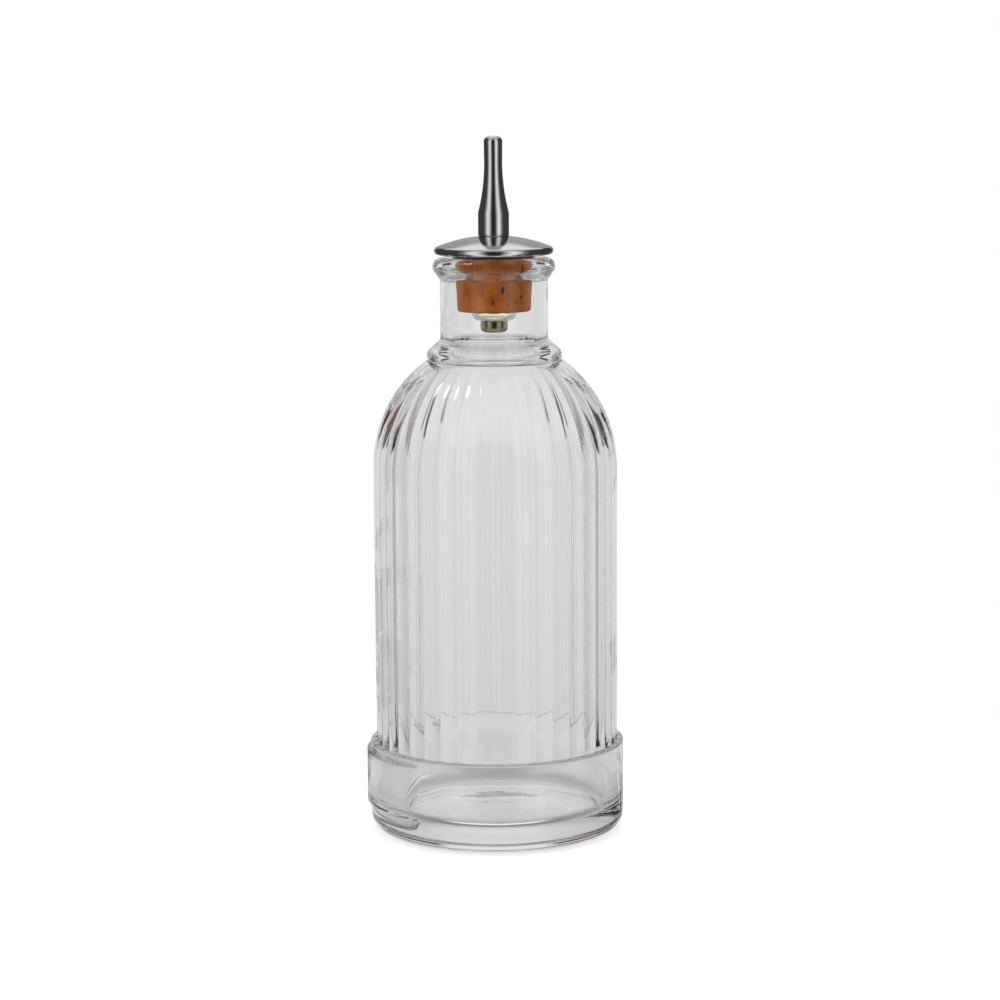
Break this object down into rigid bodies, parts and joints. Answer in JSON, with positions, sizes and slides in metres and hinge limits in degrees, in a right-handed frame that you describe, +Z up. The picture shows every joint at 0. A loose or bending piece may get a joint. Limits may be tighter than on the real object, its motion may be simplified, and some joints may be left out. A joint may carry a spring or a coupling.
{
  "type": "bitters bottle",
  "caption": "Clear reeded glass bottle with a plain base band, domed shoulder and rolled lip, closed by a cork dash stopper with a polished disc and a tapered metal spout.",
  "frame": {"origin": "middle of the base, on the surface that the bottle stands on", "axes": "+Z up along the bottle's axis to the spout, -Y the front that the picture shows, -X the side with the raised panel"},
  "size_m": [0.0629, 0.062, 0.1685],
  "materials": {
    "clear_glass": "clear pressed glass, polished",
    "cork": "natural cork, bare",
    "black_rubber": "matt rubber",
    "polished_chrome": "polished bright plating",
    "bright_steel": "bright pressed steel",
    "dark_steel": "turned steel, dull"
  },
  "bodies": {
    "bottle": {"glass_bottle": "clear_glass"},
    "stopper": {"cork_stopper": "cork", "sealing_washer": "black_rubber", "cap_disc": "polished_chrome", "spout": "polished_chrome"},
    "cup_washer": {"cup_washer": "bright_steel"},
    "hollow_screw": {"hollow_screw": "dark_steel"}
  },
  "joints": [
    {"name": "stopper_lift", "type": "slide", "parent": "bottle", "child": "stopper", "axis": [0, 0, 1], "range_m": [0, 0.05]},
    {"name": "cup_washer_drop", "type": "slide", "parent": "stopper", "child": "cup_washer", "axis": [0, 0, -1], "range_m": [0, 0.0048]},
    {"name": "screw_turn", "type": "hinge", "parent": "cup_washer", "child": "hollow_screw", "pos_m": [0, 0, 0.1244], "axis": [0, 0, -1], "range_deg": [0, 2160]}
  ],
  "couplings": [
    {"joint": "screw_turn", "follows": "cup_washer_drop", "rad_per_m": 7854}
  ]
}
